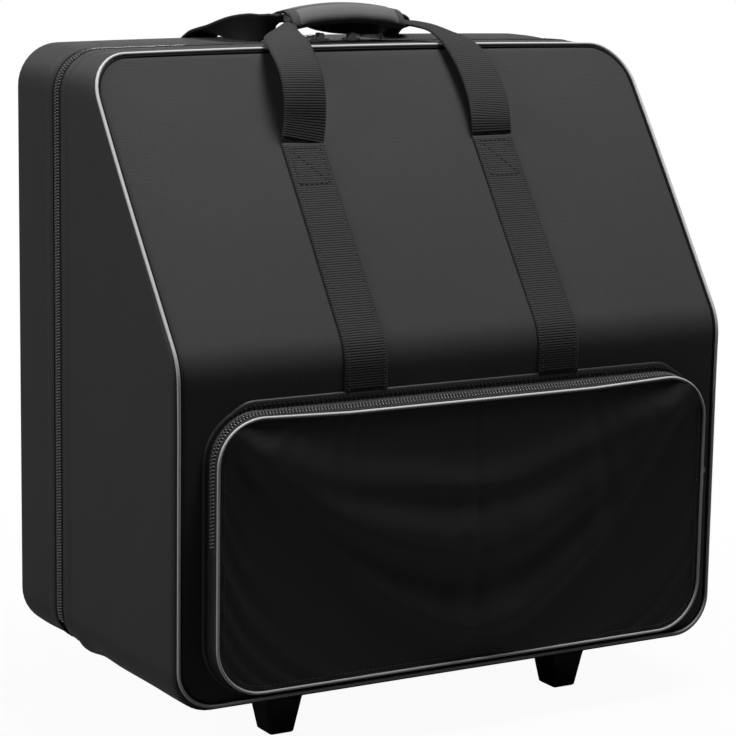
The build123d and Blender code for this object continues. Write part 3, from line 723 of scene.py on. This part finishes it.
# Distances from the middle of a zip
TAPE_STEPS = (0.9, 2.6, 6, 10, 14, 18, 21.6)
TOOTH_BACK, TOOTH_TIP = 4.6, 0.15
case_line = [(*p, *outward(case_edge, k)) for k, p in enumerate(case_edge)]
main_line = even_line(above(case_line, ZIP_FOOT + 0.5), 4.0)
for word, steps in (("front", [-d for d in reversed(TAPE_STEPS)]), ("rear", TAPE_STEPS)):
    section = flat_section([SEAM_Y + d for d in steps], -0.2, -1.4)
    sweep(f"{word}_zip_cloth", line_stations(main_line), section, TAPE, f"{word}_case", "zip_cloth",
          [f"{word}_zip_tape"])
zip_welt = [(x + nx * 0.55, FRONT_RIM - 0.6, z + nz * 0.55) for x, z, nx, nz in even_line(main_line, 4.0)]
tube_on("front_zip_welt", zip_welt, 0.95, NEAR_BLACK, "front_case", "zip_cloth", closed=False)
coil("front_zip_teeth", main_line, SEAM_Y - TOOTH_BACK, SEAM_Y - TOOTH_TIP, "front_case", 0.0)
coil("rear_zip_teeth", main_line, SEAM_Y + TOOTH_BACK, SEAM_Y + TOOTH_TIP, "rear_case", 0.5)
for word, y in (("front", FRONT_RIM - 3), ("rear", REAR_RIM + 3.5)):
    around = moved_out(case_edge, 0.85, y)
    stitches(f"{word}_hem_stitches", [around + around[:1]], THREAD, f"{word}_case", "shell_cloth")
tape_row = [(x - nx * 0.05, 230.6, z - nz * 0.05) for x, z, nx, nz in main_line]
stitches("rear_tape_stitches", [tape_row], THREAD, "rear_case", "zip_cloth", 2.4, 1.2, 0.3)

strip_line = below(case_line, ZIP_FOOT - 0.4)
strip_section = flat_section([SEAM_Y + 1.2 * k for k in range(-18, 19)], -0.3, -1.3)
strip = sweep("hinge_strip_cloth", line_stations(even_line(strip_line, 4.0)), strip_section, TAPE, None,
              "shell_cloth", ["hinge_strip_front", "hinge_strip_rear"])
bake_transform(strip)


# --- Pocket ---
def pocket_line(grow, step):
    """Pocket outline, anticlockwise from the middle of its bottom edge: (x, z, out x, out z)."""
    half, low, top, radius = P_HALF + grow, P_LOW - grow, P_TOP + grow, P_R + grow
    line = [(0.0, low, 0, -1)]
    for cx, cz, start in ((half - radius, low + radius, -90), (half - radius, top - radius, 0),
                          (radius - half, top - radius, 90), (radius - half, low + radius, 180)):
        for k in range(13):
            a = math.radians(start + 90 * k / 12)
            line.append((cx + radius * math.cos(a), cz + radius * math.sin(a), math.cos(a), math.sin(a)))
    return even_line(line + line[:1], step)


def fold_ends(z):
    """Right and left end of the pocket outline where it is cut at the fold."""
    return [(P_HALF, z, 1.0, 0.0)], [(-P_HALF, z, -1.0, 0.0)]


def at_depth(line, y):
    return [(x, y, z) for x, z, nx, nz in line]


# Welt at the pocket's root, as (depth, height over the gusset)
ROOT = [(-3.8, -0.3), (-3.8, -2.0), (-0.2, -2.0), (-0.2, 4.8), (-1.4, 5.0), (-2.5, 4.2), (-2.7, 2.6),
        (-2.5, 0.6), (-3.0, 0.0)]
sweep("pocket_gusset_root", line_stations(pocket_line(0, 3.5)), ROOT, POCKET_NYLON, "front_case",
      "pocket_cloth", closed=True)
fold_right, fold_left = fold_ends(FOLD_Z - 0.1)
wall_line = []
for x, z, nx, nz in fold_left + below(pocket_line(0, 3.0), FOLD_Z - 0.6) + fold_right:
    push = 0.5 * soft(x, 0, z, 40, 2.0) - 0.5
    wall_line.append((x + nx * push, z + nz * push, nx, nz))
wall_section = flat_section([-16.6, -14, -11, -8, -5, -3.2], -0.1, -1.4)
sweep("pocket_gusset_wall", line_stations(wall_line), wall_section, POCKET_NYLON, "front_case",
      "pocket_cloth", ["pocket_gusset"])
fold_right, fold_left = fold_ends(FOLD_Z + 0.2)
zip_above = fold_right + above(pocket_line(0, 2.5), FOLD_Z + 0.7) + fold_left
for word, body, steps, tape in (("fixed", "front_case", (1.1, 3.5, 6.4), "pocket_zip_tape_fixed"),
                                ("flap", "pocket_flap", (-6.4, -3.5, -1.1), "pocket_flap_zip_tape")):
    section = flat_section([P_SEAM_Y + d for d in steps], -0.2, -1.3)
    sweep(f"pocket_zip_cloth_{word}", line_stations(zip_above), section, TAPE, body, "zip_cloth", [tape])
coil("pocket_teeth_fixed", zip_above, P_SEAM_Y + 4.2, P_SEAM_Y + TOOTH_TIP, "front_case", 0.0, 3.0)
coil("pocket_teeth_flap", zip_above, P_SEAM_Y - 4.2, P_SEAM_Y - TOOTH_TIP, "pocket_flap", 0.5, 3.0)
welt = at_depth(pocket_line(2.6, 3.0), -2.95)
stitches("pocket_welt_stitches", [welt + welt[:1]], NEAR_BLACK, "front_case", "pocket_cloth")

piping = tube_on("pocket_piping_cover", at_depth(pocket_line(0, 2.0), P_PIPING_Y), 1.35, PIPING, None,
                 "piping", ["pocket_lower_piping", "pocket_flap_piping"])
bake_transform(piping)


def relax(verts, faces, pinned, settings, gravity=True):
    """Run a short cloth simulation on a mesh in millimetres and give back its vertices."""
    frames = 20
    scene = bpy.context.scene
    scene.use_gravity = gravity
    me = new_mesh("relax", [Vector(v) * 0.001 for v in verts], faces)
    obj = add("relax", me)
    obj.vertex_groups.new(name="pin").add(pinned, 1.0, "REPLACE")
    mod = obj.modifiers.new("cloth", "CLOTH")
    for key, value in settings.items():
        setattr(mod.settings, key, value)
    if pinned:
        mod.settings.vertex_group_mass = "pin"
    mod.point_cache.frame_start = 1
    mod.point_cache.frame_end = frames
    for frame_number in range(1, frames + 1):
        scene.frame_set(frame_number)
    result = obj.evaluated_get(bpy.context.evaluated_depsgraph_get())
    out = [tuple(v.co * 1000) for v in result.data.vertices]
    bpy.data.objects.remove(obj)
    bpy.data.meshes.remove(me)
    scene.frame_set(1)
    scene.use_gravity = True
    return out


# Slack folds as (fall at their left end, at their right end, height above and below, depth, middle x)
SWAGS = [(112, 124, 34, 15, 7.5, -18), (58, 66, 18, 10, 3.4, -30), (180, 188, 24, 12, 5.5, 4)]
SWAG_INSET = 14


def swag(x, z):
    """Bulge of the slack panel: folds that hang from its top corners, full above, tucked below."""
    bulge = 0.0
    for left, right, over, under, depth, middle in SWAGS:
        fall = left + (right - left) * ease((x - middle) / 200 + 0.5)
        half_span = P_HALF - SWAG_INSET + (-middle if x > middle else middle)
        reach = min(1.0, abs((x - middle) / half_span))
        crest = P_TOP - SWAG_INSET - fall * math.cos(math.pi / 2 * reach)
        crest += 7 * soft(x, 2.0 + fall, z, 85, 9.0)
        off = (z - crest) / (over if z > crest else under)
        strength = 0.9 + 0.45 * math.cos(math.pi * reach) + 0.35 * soft(x, z, fall, 60, 15.0)
        bulge += depth * max(0.0, strength) * math.exp(-off * off)
    return bulge


def inside_pocket(x, z, reach):
    """0 at the pocket's outline and outside it, 1 from reach inside it."""
    return clamp(min(P_HALF - abs(x), z - P_LOW, P_TOP - z) / reach)


def pocket_panel():
    """One cloth panel sewn to its piping, slack enough to crease, turned back at the rim."""
    grid = outline_grid(P_HALF - 0.6, P_LOW + 0.6, P_TOP - 0.6, P_R - 0.6, 120, 10, 44)
    nj, ni = len(grid), len(grid[0])
    flat = []
    for x, z in (p for line in grid for p in line):
        crease = soft(x * 0.45 + z * 0.9, 4.0, z * 0.45 - x * 0.22, 34, 7.0)
        flat.append((x, P_PANEL_Y - inside_pocket(x, z, 50) * (0.3 + 0.5 * crease), z))
    shape = flat
    quads = tub([[(0, 0, 0)] * ni] * nj, [])[1]
    rim = [j * ni + i for j, i in border(nj, ni)]
    loose = dict(quality=6, mass=0.12, tension_stiffness=18, compression_stiffness=18,
                 shear_stiffness=6, bending_stiffness=0.6, air_damping=2.0, shrink_min=-0.004)
    shape = relax(flat, quads, rim, loose)
    front = []
    for (x0, y0, z0), (x, y, z) in zip(flat, shape):
        x, y, z = clamp(x, x0 - 3.0, x0 + 3.0), clamp(y, -20.5, -17.4), clamp(z, z0 - 4.0, z0 + 4.0)
        front.append((x, max(P_DEEPEST_Y, y - swag(x, z) * inside_pocket(x, z, 30) ** 0.8), z))
    grid_front = [front[j * ni:(j + 1) * ni] for j in range(nj)]
    grid_back = [[(x, y + 0.8, z) for x, y, z in line] for line in grid_front]
    edge = grid_edge(grid)
    turn_front, turn_back = ([moved_out(edge, lift, y) for y in (-18.4, -16.3)] for lift in (0.3, -0.5))
    return closed_tub(tub(grid_front, turn_front), tub(grid_back, turn_back))


panel = piece("pocket_panel_cloth", *pocket_panel(), POCKET_NYLON, None, "pocket_cloth",
              ["pocket_lower_panel", "pocket_flap_panel"])
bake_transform(panel)
edge_line = pocket_line(-5.5, 3.0)
for word, body, run in (("low", "front_case", below(edge_line, FOLD_Z - 8)),
                        ("flap", "pocket_flap", above(edge_line, FOLD_Z + 8))):
    stitches(f"pocket_edge_stitches_{word}", [at_depth(run, -20.15)], THREAD, body, "pocket_cloth")


# --- Webbing ---
def ribbon_section(curl, width, thick):
    """Webbing cut across, as (across, out, distance from its middle), with thicker woven edges."""
    steps = 16
    top, low = [], []
    for u in (2 * i / steps - 1 for i in range(steps + 1)):
        s = u * width / 2
        share = 0.6 if abs(u) > 0.99 else 1.0 if abs(u) > 0.84 else 0.82
        half = thick / 2 * share
        middle, normal = (s, 0.0), (0.0, 1.0)
        if curl > 0.02:
            radius = width / curl
            turn = s / radius
            rise = (1 - math.cos(curl / 2)) / 2
            middle = (radius * math.sin(turn), radius * (math.cos(turn) - 1 + rise))
            normal = (math.sin(turn), math.cos(turn))
        top.append((middle[0] + normal[0] * half, middle[1] + normal[1] * half, s))
        low.append((middle[0] - normal[0] * half, middle[1] - normal[1] * half, s))
    return top + low[::-1]


def ribbon(name, stations, body, replaces):
    """Webbing through stations of (x, y, z, across x, y, z, curl, width, thickness)."""
    verts, uvs = [], []
    pts = [Vector(s[:3]) for s in stations]
    run = 0.0
    for k, station in enumerate(stations):
        d = (pts[min(k + 1, len(pts) - 1)] - pts[max(k - 1, 0)]).normalized()
        across = Vector(station[3:6])
        across = (across - d * across.dot(d)).normalized()
        out = across.cross(d).normalized()
        run += (pts[k] - pts[max(k - 1, 0)]).length
        for a, o, s in ribbon_section(*station[6:9]):
            verts.append(tuple(pts[k] + across * a + out * o))
            uvs.append((s * 0.001, run * 0.001))
    faces = tube_faces(len(stations), len(verts) // len(stations))
    return piece(name, verts, faces, WEBBING, body, "webbing", replaces, uvs)


def over_front(x, z, lift):
    """Depth and height of a point that stands off the swollen front face by lift."""
    a = face_angle(z)
    lift += front_push(x, z)
    return front_y(z) - lift * math.cos(a), z + lift * math.sin(a)


def over_rear(x, z, lift):
    return DEPTH + lift + rear_push(x, z), z


def box_stitch(x, z0, z1, over, lift):
    """Square with a cross in it, sewn through webbing at x."""
    square = [(x - 15, z0), (x + 15, z0), (x + 15, z1), (x - 15, z1), (x - 15, z0), (x + 15, z1)]
    out = []
    for line in (square, [(x + 15, z0), (x - 15, z1)]):
        flat = [(ax + (bx - ax) * k / 8, az + (bz - az) * k / 8)
                for (ax, az), (bx, bz) in zip(line, line[1:]) for k in range(8)]
        out.append([(px, *over(x, pz, lift)) for px, pz in flat + line[-1:]])
    return out


def sewn_strap(name, x, over, across, heights, boxes, lift, body):
    """Strap sewn flat on a face, with a row of stitches along each edge and box stitches."""
    stations = [(x, *over(x, z, 1.3), across, 0, 0, 0, STRAP_W, 2.5) for z in heights]
    ribbon(f"{name}_webbing", stations, body, [name])
    seams = [[(x + off, *over(x, z, lift)) for z in heights] for off in (-16.5, 16.5)]
    for z0, z1 in boxes:
        seams += box_stitch(x, z0, z1, over, lift + 0.1)
    stitches(f"{name}_stitches", seams, THREAD, body, "webbing", 3.4, 1.4, 0.4)


front_heights = [254.4 + 192.2 * k / 65 for k in range(66)]
rear_heights = [300.2 + 146.0 * k / 49 for k in range(50)]
front_boxes, rear_boxes = [(414, 442)], [(412, 440), (306, 334)]
for word, x in (("right", STRAP_X), ("left", -STRAP_X)):
    sewn_strap(f"front_strap_{word}", x, over_front, 1, front_heights, front_boxes, 2.45, "front_case")
    sewn_strap(f"rear_strap_{word}", x, over_rear, -1, rear_heights, rear_boxes, 2.5, "rear_case")


def mirrored(stations):
    """The same stations on the other side, in reverse, so that the strap runs on."""
    return [(-x, y, z, -ax, *rest) for x, y, z, ax, *rest in reversed(stations)]


def arch(x):
    """Rise of the grip's middle above its ends."""
    return GRIP_RISE * (1 - (x / GRIP_REACH) ** 2)


# Free loops: each runs from its sewn foot up to the grip.
front_foot = (95, 111.3, 448.6, 1, 0, 0, 0, 40, 2.4)
front_right = [
    front_foot,
    (95, 113, 462, 1, 0, 0, 0, 40, 2.4), (97, 123, 481, 1, 0, 0, 0.1, 40, 2.4),
    (97, 141, 504, 1, 0.05, 0, 0.2, 40, 2.5), (93, 164, 525, 0.97, 0.2, 0, 0.35, 39, 2.6),
    (84, 186, 536, 0.7, 0.6, 0, 0.8, 34, 2.6), (71, 201, 540, 0.3, 1, 0, 1.5, 24, 2.5),
    (58, 208, 541.5, 0, 1, 0, 1.6, 18, 2.4)]
front_left = [
    front_foot,
    (92, 113, 466, 1, 0, 0, 0, 40, 2.4), (91, 115, 486, 1, 0, 0, 0.1, 40, 2.4),
    (90, 124, 506, 1, 0.05, 0, 0.2, 40, 2.5), (88, 144, 523, 1, 0.1, 0, 0.3, 40, 2.6),
    (83, 165, 532, 0.85, 0.35, 0, 0.5, 38, 2.6), (73, 188, 536, 0.5, 0.8, 0, 1.0, 30, 2.6),
    (64, 201, 539, 0.25, 1, 0, 1.5, 22, 2.5), (56, 208, 541.5, 0, 1, 0, 1.6, 18, 2.4)]
inside = [(x, 208, GRIP_Z - 4 + arch(x), 0, 1, 0, 1.6, 14, 2.4) for x in (45, 25, 0, -25, -45)]
front_loop = smooth_path(front_right + inside + mirrored(front_left), 4.0)
ribbon("front_carry_webbing", front_loop, "carry_handle",
       ["handle_loop_right", "handle_loop_left", "handle_front_run"])

rear_foot = (95, 314.6, 447, -1, 0, 0, 0, 40, 2.4)
rear_rise = [
    (95, 319, 496, -1, 0, 0, 0.1, 40, 2.5), (95, 317, 516, -1, 0.1, 0, 0.15, 40, 2.6),
    (93, 302, 529, -1, 0.25, -0.05, 0.2, 39, 2.6)]
rear_right = [rear_foot, (95, 318, 471, -1, 0, 0, 0, 40, 2.4), *rear_rise,
    (88, 276, 532, -0.8, 0.4, -0.2, 0.3, 36, 2.6), (78, 254, 536, -0.35, 0.6, -0.5, 0.4, 30, 2.6),
    (66, 242, 539, 0, 0.6, -0.8, 0.3, 24, 2.6), (54, 237, 539.5, 0, 0.25, -1, 0.2, 20, 2.6)]
rear_left = [rear_foot, (95, 318, 474, -1, 0, 0, 0, 40, 2.4), *rear_rise,
    (88, 276, 530, -0.8, 0.4, -0.45, 0.3, 38, 2.6), (80, 252, 535.5, -0.5, 0.5, -0.85, 0.4, 33, 2.6),
    (69, 239, 538.5, -0.1, 0.7, -0.9, 0.4, 30, 2.6), (60, 233, 543, 0, 0.8, -0.8, 0.4, 23, 3.2),
    (52, 230.5, 545.5, 0, 1, -0.4, 0.3, 17, 3.8)]
rear_inside = [
    (35, 236.5, 539.5, 0, 0.2, -1, 0.2, 20, 2.6), (10, 236.5, 540.5, 0, 0.2, -1, 0.2, 20, 2.6),
    (-12, 235, 543, 0, 0.5, -1, 0.2, 19, 2.8), (-32, 232, 547, 0, 0.9, -0.6, 0.3, 17, 3.4)]
rear_loop = smooth_path(rear_right + rear_inside + mirrored(rear_left), 4.0)
ribbon("rear_carry_webbing", rear_loop, "rear_case", ["rear_loop_right", "rear_loop_left", "rear_loop_run"])

# --- Grip ---
# Section of the wrap as (back, up) from the grip's middle line, round both runs of webbing
WRAP = [
    (-1.7, 3.6), (-1.7, -4.0), (-4.0, -7.4), (-10.0, -8.1), (-16.0, -8.0), (-18.8, -6.4), (-18.4, -3.2),
    (-15.8, 0.8), (-12.0, 4.2), (-6.0, 6.3), (1.0, 6.8), (11.0, 5.4), (21.4, 2.6)]
wrap_profile = [Vector(p[:2]) for p in smooth_path([(*p, 0) for p in WRAP], 1.4)]


def wrap_normal(profile, k):
    """Direction in which the wrap swells at a point of its profile."""
    p = profile[k]
    d = (profile[min(k + 1, len(profile) - 1)] - profile[max(k - 1, 0)]).normalized()
    n = Vector((d.y, -d.x))
    if p.x < -8 and n.dot(p - Vector((-9, 0))) < 0:
        n = -n
    return Vector((0, 1)) if p.x > 0.5 and n.y < 0 else n


def grip_shell(name, share, x0, x1, low, high, puff, mat, replaces=()):
    """Padded cloth wrapped over the grip between two shares of the wrap profile."""
    end = len(wrap_profile) - 1
    profile = wrap_profile[int(share[0] * end):int(share[1] * end) + 1]
    columns = 60
    verts = []
    for c in range(columns + 1):
        x = x0 + (x1 - x0) * c / columns
        outer, inner = [], []
        for k, p in enumerate(profile):
            n = wrap_normal(profile, k)
            fade = clamp(min(c, columns - c) / 4) * clamp(min(k, len(profile) - 1 - k) / 3)
            swell = puff * math.sqrt(fade) * (1 + 0.35 * soft(x, p.x, p.y, 22, 5.0))
            outer.append(p + n * (high + swell))
            inner.append(p + n * low)
        verts += [(x, GRIP_Y + q.x, GRIP_Z + arch(x) + q.y) for q in outer + inner[::-1]]
    faces = tube_faces(columns + 1, 2 * len(profile))
    return piece(name, verts, faces, mat, "carry_handle", "grip_cloth", replaces)


grip_shell("grip_wrap_cloth", (0.0, 1.0), -57, 56.5, 1.1, -1.0, 0.3, BINDING,
           ["handle_grip_sleeve", "handle_grip_flap"])
pad = grip_shell("grip_pad_cloth", (0.36, 0.72), -50, 49.5, 1.5, 0.9, 1.2, GRIP)


# --- Floor pad inside ---
def foam_block(size):
    """Dense rounded block in metres, a little smaller than the pad: its vertices and faces."""
    bm = bmesh.new()
    bmesh.ops.create_cube(bm, size=1.0)
    for v in bm.verts:
        v.co = Vector((v.co.x * (size.x - 3), v.co.y * (size.y - 3), v.co.z * (size.z - 2)))
    upright = [e for e in bm.edges if abs(e.verts[0].co.z - e.verts[1].co.z) > 1]
    bmesh.ops.bevel(bm, geom=upright, offset=17, segments=5, affect="EDGES", profile=0.5)
    level = [e for e in bm.edges
             if abs(e.verts[0].co.z - e.verts[1].co.z) < 0.01 and abs(e.calc_face_angle(0)) > 0.5]
    bmesh.ops.bevel(bm, geom=level, offset=5, segments=3, affect="EDGES", profile=0.5)
    me = bpy.data.meshes.new("pad")
    bm.to_mesh(me)
    bm.free()
    for v in me.vertices:
        v.co *= 0.001
    obj = add("pad", me)
    mod = obj.modifiers.new("remesh", "REMESH")
    mod.mode = "VOXEL"
    mod.voxel_size = 0.005
    dense = obj.evaluated_get(bpy.context.evaluated_depsgraph_get()).to_mesh()
    verts, faces = [v.co * 1000 for v in dense.vertices], [tuple(p.vertices) for p in dense.polygons]
    bpy.data.objects.remove(obj)
    return verts, faces


def floor_pad():
    """Foam block under the instrument, its cloth cover pulled round by a little pressure."""
    low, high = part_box("base_pad")
    start, faces = foam_block((high - low) * 1000)
    shape = start
    tight = dict(quality=5, mass=0.3, tension_stiffness=15, compression_stiffness=15, air_damping=2.0,
                 bending_stiffness=0.5, use_pressure=True, uniform_pressure_force=4.0)
    shape = relax(start, faces, [], tight, gravity=False)
    middle = (low + high) * 500 - Vector((0, FRONT_Y, FLOOR_GAP))
    most = 1.2
    return [tuple(m + clamp(q, p - most, p + most) for m, p, q in zip(middle, a, b))
            for a, b in zip(start, shape)], faces


pad = piece("base_pad_cover", *floor_pad(), PLUSH, "front_case", "plush_lining", ["base_pad"])

# --- Finishes of the hard parts ---
FINISHES = {
    PLASTIC: ["foot_right", "foot_left", "trolley_bezel", "trolley_base", "wheel_bracket_right",
              "wheel_bracket_left", "trolley_grip"],
    BUTTON: ["trolley_button"],
    STEEL: ["foot_screws", "trolley_screws", "wheel_axles", "wheel_bracket_screws"],
    TUBE: ["trolley_outer_tubes", "trolley_inner_tubes"],
    RUBBER: ["wheel_tyre_right", "wheel_tyre_left"],
    HUB: ["wheel_hub_right", "wheel_hub_left"],
    SLIDER: ["main_slider_left", "main_slider_right", "pocket_slider", "main_pull_left",
             "main_pull_right", "pocket_pull"],
}
for mat, names in FINISHES.items():
    for name in names:
        materials = bpy.data.objects[name].data.materials
        materials.clear()
        materials.append(mat)


# --- Stage, light and camera ---
def floor_material():
    """Pale floor that fades to white and keeps the object's shadow. Light passes it, so that what
    hangs below floor level when the case is open is lit and seen."""
    mat, tree = new_material("floor_white")
    tree.nodes.clear()
    path = node(tree, "LightPath").outputs
    shade = mixed(tree, path["Is Camera Ray"], grey(0.14), grey(0.6))
    diffuse = node(tree, "BsdfDiffuse", {"Color": shade}).outputs[0]
    clear = node(tree, "BsdfTransparent").outputs[0]
    centre = node(tree, "TexCoord").outputs["Object"]
    away = node(tree, "VectorMath", {0: centre}, operation="LENGTH").outputs["Value"]
    fade = node(tree, "MapRange", {"From Min": 0.25, "From Max": 0.9, "To Min": 0.95, "To Max": 1.0,
                                   "Value": away}, interpolation_type="SMOOTHSTEP").outputs["Result"]
    seen = calc(tree, "MULTIPLY", path["Is Camera Ray"], fade)
    share = calc(tree, "MAXIMUM", seen, path["Is Shadow Ray"])
    surface = node(tree, "MixShader", {"Fac": share, 1: diffuse, 2: clear}).outputs[0]
    node(tree, "OutputMaterial", {"Surface": surface})
    return mat


def floor(reach=9):
    square = [(x * reach, y * reach, 0) for x, y in ((-1, -1), (1, -1), (1, 1), (-1, 1))]
    me = new_mesh("floor", square, [(0, 1, 2, 3)])
    me.materials.append(floor_material())
    add("floor", me)


def studio():
    """World that is white to the camera and dim as a light."""
    world = bpy.data.worlds.new("studio")
    bpy.context.scene.world = world
    world.use_nodes = True
    tree = world.node_tree
    path = node(tree, "LightPath").outputs
    seen = calc(tree, "MAXIMUM", path["Is Camera Ray"], path["Is Transmission Ray"])
    strength = calc(tree, "ADD", calc(tree, "MULTIPLY", seen, 0.95), 0.05)
    fill(tree, tree.nodes["Background"], {"Strength": strength, "Color": (1, 1, 1, 1)})


def lamp(name, where, target, size, power):
    data = bpy.data.lights.new(name, "AREA")
    data.shape = "SQUARE"
    data.size = size
    data.energy = power
    obj = add(name, data)
    obj.location = where
    obj.rotation_euler = (Vector(target) - Vector(where)).to_track_quat("-Z", "Y").to_euler()


floor()
studio()
lamp("key", (0.35, -0.3, 2.35), (0, 0, 0.4), 0.8, 55)
lamp("fill", (-2.2, 0.12, 1.3), (0, 0, 0.3), 1.2, 38)
lamp("back", (0.8, 2.4, 0.45), (0, 0, 0.3), 0.8, 27)


def camera(where, yaw, pitch, roll, focal_px, image_px=736, sensor=36.0):
    """Camera at a point of the case frame, turned by angles in degrees, for a square picture."""
    yaw, pitch, roll = (math.radians(a) for a in (yaw, pitch, roll))
    look = Vector((math.sin(yaw) * math.cos(pitch), math.cos(yaw) * math.cos(pitch), math.sin(pitch)))
    level = look.cross(Vector((0, 0, 1))).normalized()
    upright = level.cross(look)
    right = level * math.cos(roll) + upright * math.sin(roll)
    up = upright * math.cos(roll) - level * math.sin(roll)
    data = bpy.data.cameras.new("camera")
    data.sensor_width = sensor
    data.lens = focal_px / image_px * sensor
    obj = add("camera", data)
    obj.matrix_world = Matrix((*zip(right, up, -look, place(where)), (0, 0, 0, 1)))
    bpy.context.scene.camera = obj


camera((-1178.11, -1854.97, 673.16), 30.339, -10.546, 0.902, 2659.28)
bpy.context.scene.view_settings.view_transform = "Standard"
